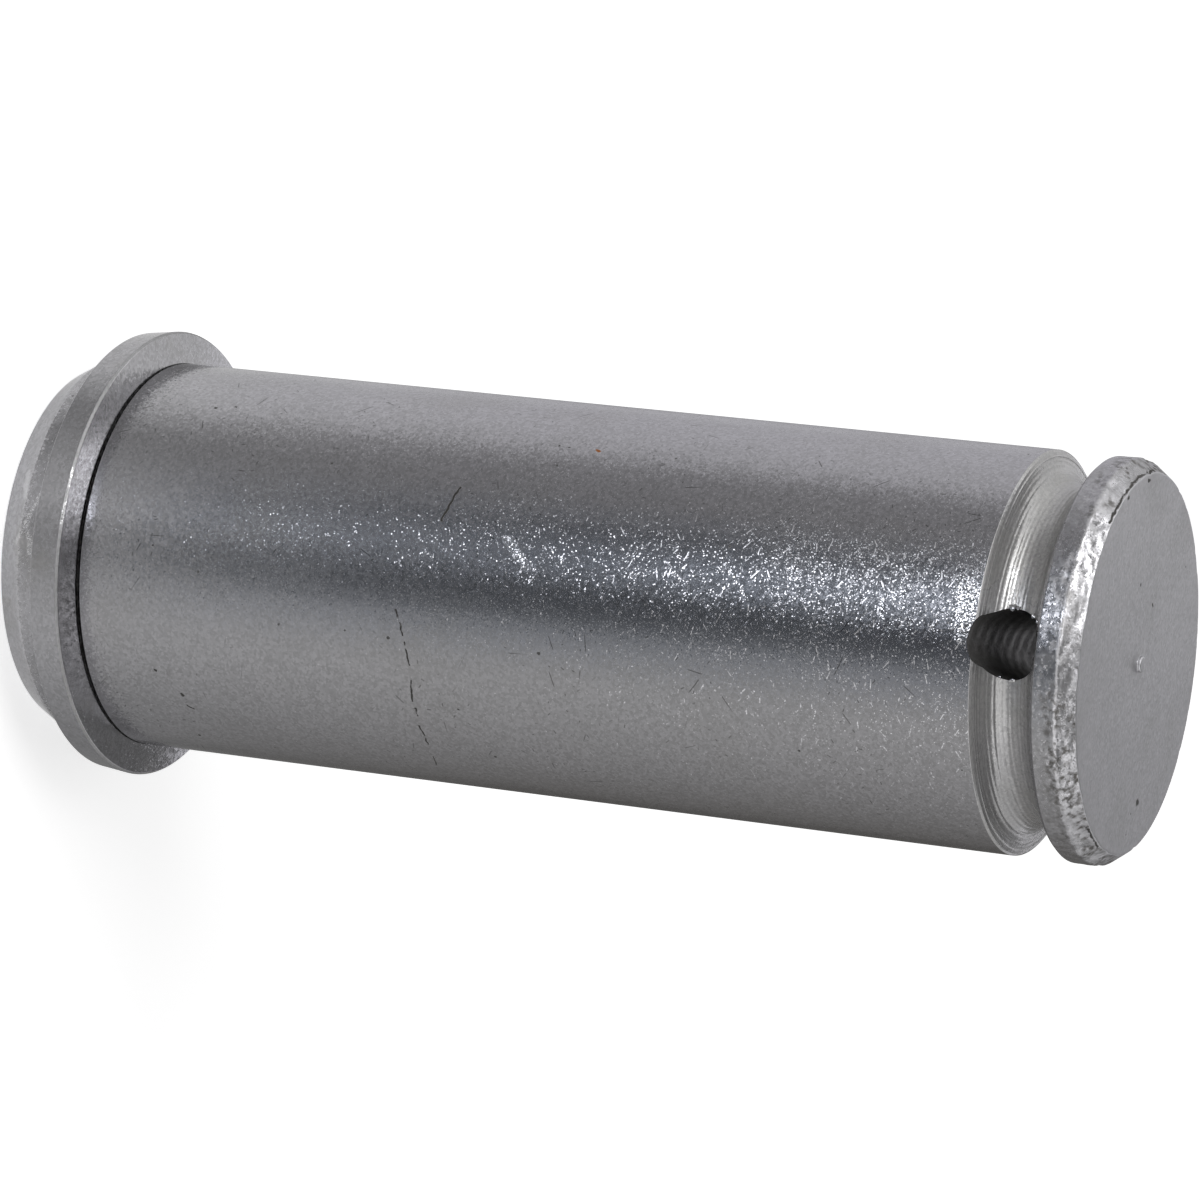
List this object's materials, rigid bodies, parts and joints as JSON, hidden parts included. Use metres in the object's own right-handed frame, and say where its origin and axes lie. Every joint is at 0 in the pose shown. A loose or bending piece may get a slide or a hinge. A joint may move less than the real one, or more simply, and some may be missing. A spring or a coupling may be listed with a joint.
{
  "type": "clevis pin",
  "caption": "Turned clevis pin: a bossed head with a broad collar, a plain shank, a clip groove with a cross hole drilled through it, and a chamfered tail disc.",
  "frame": {"origin": "centre of the head's flat back face, on which the pin stands", "axes": "+Z along the pin from the head to the tail; the cross hole runs along Y; X is square to both"},
  "size_m": [0.0291, 0.029, 0.0728],
  "materials": {
    "zinc_plated_steel": "dull zinc plating over turned steel, pitted and scuffed, with bare turning ridges in the clip groove"
  },
  "bodies": {
    "root": {"clevis_pin": "zinc_plated_steel"}
  },
  "joints": []
}
